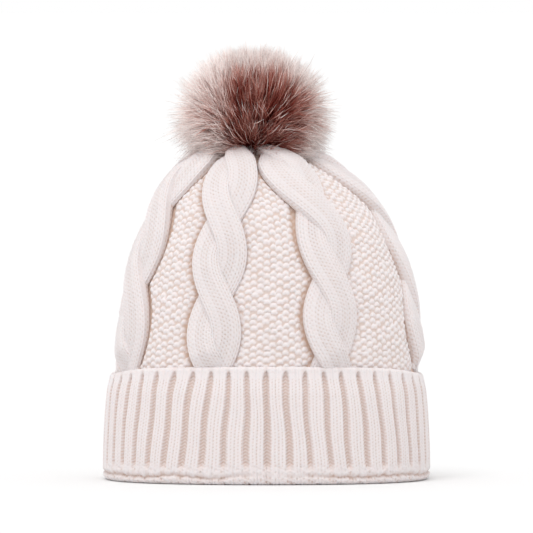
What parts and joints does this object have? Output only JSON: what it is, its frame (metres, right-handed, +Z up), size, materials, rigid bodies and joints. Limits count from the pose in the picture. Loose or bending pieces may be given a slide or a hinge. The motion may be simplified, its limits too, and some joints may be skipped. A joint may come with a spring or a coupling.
{
  "type": "pom pom beanie",
  "caption": "Cable-knit beanie with a turned-up ribbed cuff, moss-stitch panels between rope cables, and a detachable faux-fur pom on the crown.",
  "frame": {"origin": "middle of the head opening, in the plane that the cuff's folded rim stands on", "axes": "+Z up through the crown, -Y to the front of the hat, +X to the right of someone who looks at the front"},
  "size_m": [0.224, 0.18, 0.2925],
  "materials": {
    "rib_knit": "two-by-two ribbing in soft ivory yarn, matt and slightly hairy",
    "moss_knit": "moss stitch in soft ivory yarn, matt, with tan shade in its gaps",
    "cable_knit": "plain knit wales in soft ivory yarn, matt and slightly hairy",
    "sewing_yarn": "twisted ivory yarn",
    "felt": "thin pressed felt, matt",
    "snap_metal": "nickel-plated pressed metal, satin",
    "spring_wire": "bright spring wire",
    "disc_plastic": "off-white moulded plastic, matt",
    "fur_backing": "dark brown knitted backing, matt",
    "fibre_filling": "white loose fibre",
    "thread": "dark brown sewing thread",
    "fur_pile": "long faux-fur pile, dark maroon at the root and pale pink-beige at the tip, soft sheen"
  },
  "bodies": {
    "hat": {"back_seam_yarn": "sewing_yarn", "cable_1_strand_a": "cable_knit", "cable_1_strand_b": "cable_knit", "cable_2_strand_a": "cable_knit", "cable_2_strand_b": "cable_knit", "cable_3_strand_a": "cable_knit", "cable_3_strand_b": "cable_knit", "cable_4_strand_a": "cable_knit", "cable_4_strand_b": "cable_knit", "cable_5_strand_a": "cable_knit", "cable_5_strand_b": "cable_knit", "cable_6_strand_a": "cable_knit", "cable_6_strand_b": "cable_knit", "cable_7_strand_a": "cable_knit", "cable_7_strand_b": "cable_knit", "cuff_inner_band": "rib_knit", "cuff_turn_up": "rib_knit", "seed_panel_1": "moss_knit", "seed_panel_2": "moss_knit", "seed_panel_3": "moss_knit", "seed_panel_4": "moss_knit", "seed_panel_5": "moss_knit", "seed_panel_6": "moss_knit", "seed_panel_7": "moss_knit"},
    "crown_ring": {"crown_gather_yarn": "sewing_yarn"},
    "stud": {"snap_patch": "felt", "snap_stud": "snap_metal", "snap_stud_cap": "snap_metal"},
    "spring_ring": {"socket_spring_wire": "spring_wire"},
    "pom": {"snap_socket": "snap_metal", "pom_base_disc": "disc_plastic", "pom_socket_rivet": "snap_metal", "pom_fur_backing": "fur_backing", "pom_filling": "fibre_filling", "pom_gather_thread": "thread", "pom_fur_pile": "fur_pile"}
  },
  "joints": [
    {"name": "pom_nod", "type": "hinge", "parent": "hat", "child": "crown_ring", "pos_m": [-0.0095, 0, 0.2245], "axis": [1, 0, 0], "range_deg": [-6, 6], "stiffness_Nm_per_rad": 0.12},
    {"name": "pom_tip", "type": "hinge", "parent": "crown_ring", "child": "stud", "pos_m": [-0.0095, 0, 0.2245], "axis": [0, 1, 0], "range_deg": [-6, 6], "stiffness_Nm_per_rad": 0.12},
    {"name": "pom_pull", "type": "slide", "parent": "stud", "child": "spring_ring", "axis": [0, 0, 1], "range_m": [0, 0.06]},
    {"name": "pom_spin", "type": "hinge", "parent": "spring_ring", "child": "pom", "pos_m": [-0.0095, 0, 0.2245], "axis": [0, 0, 1], "continuous": true}
  ]
}
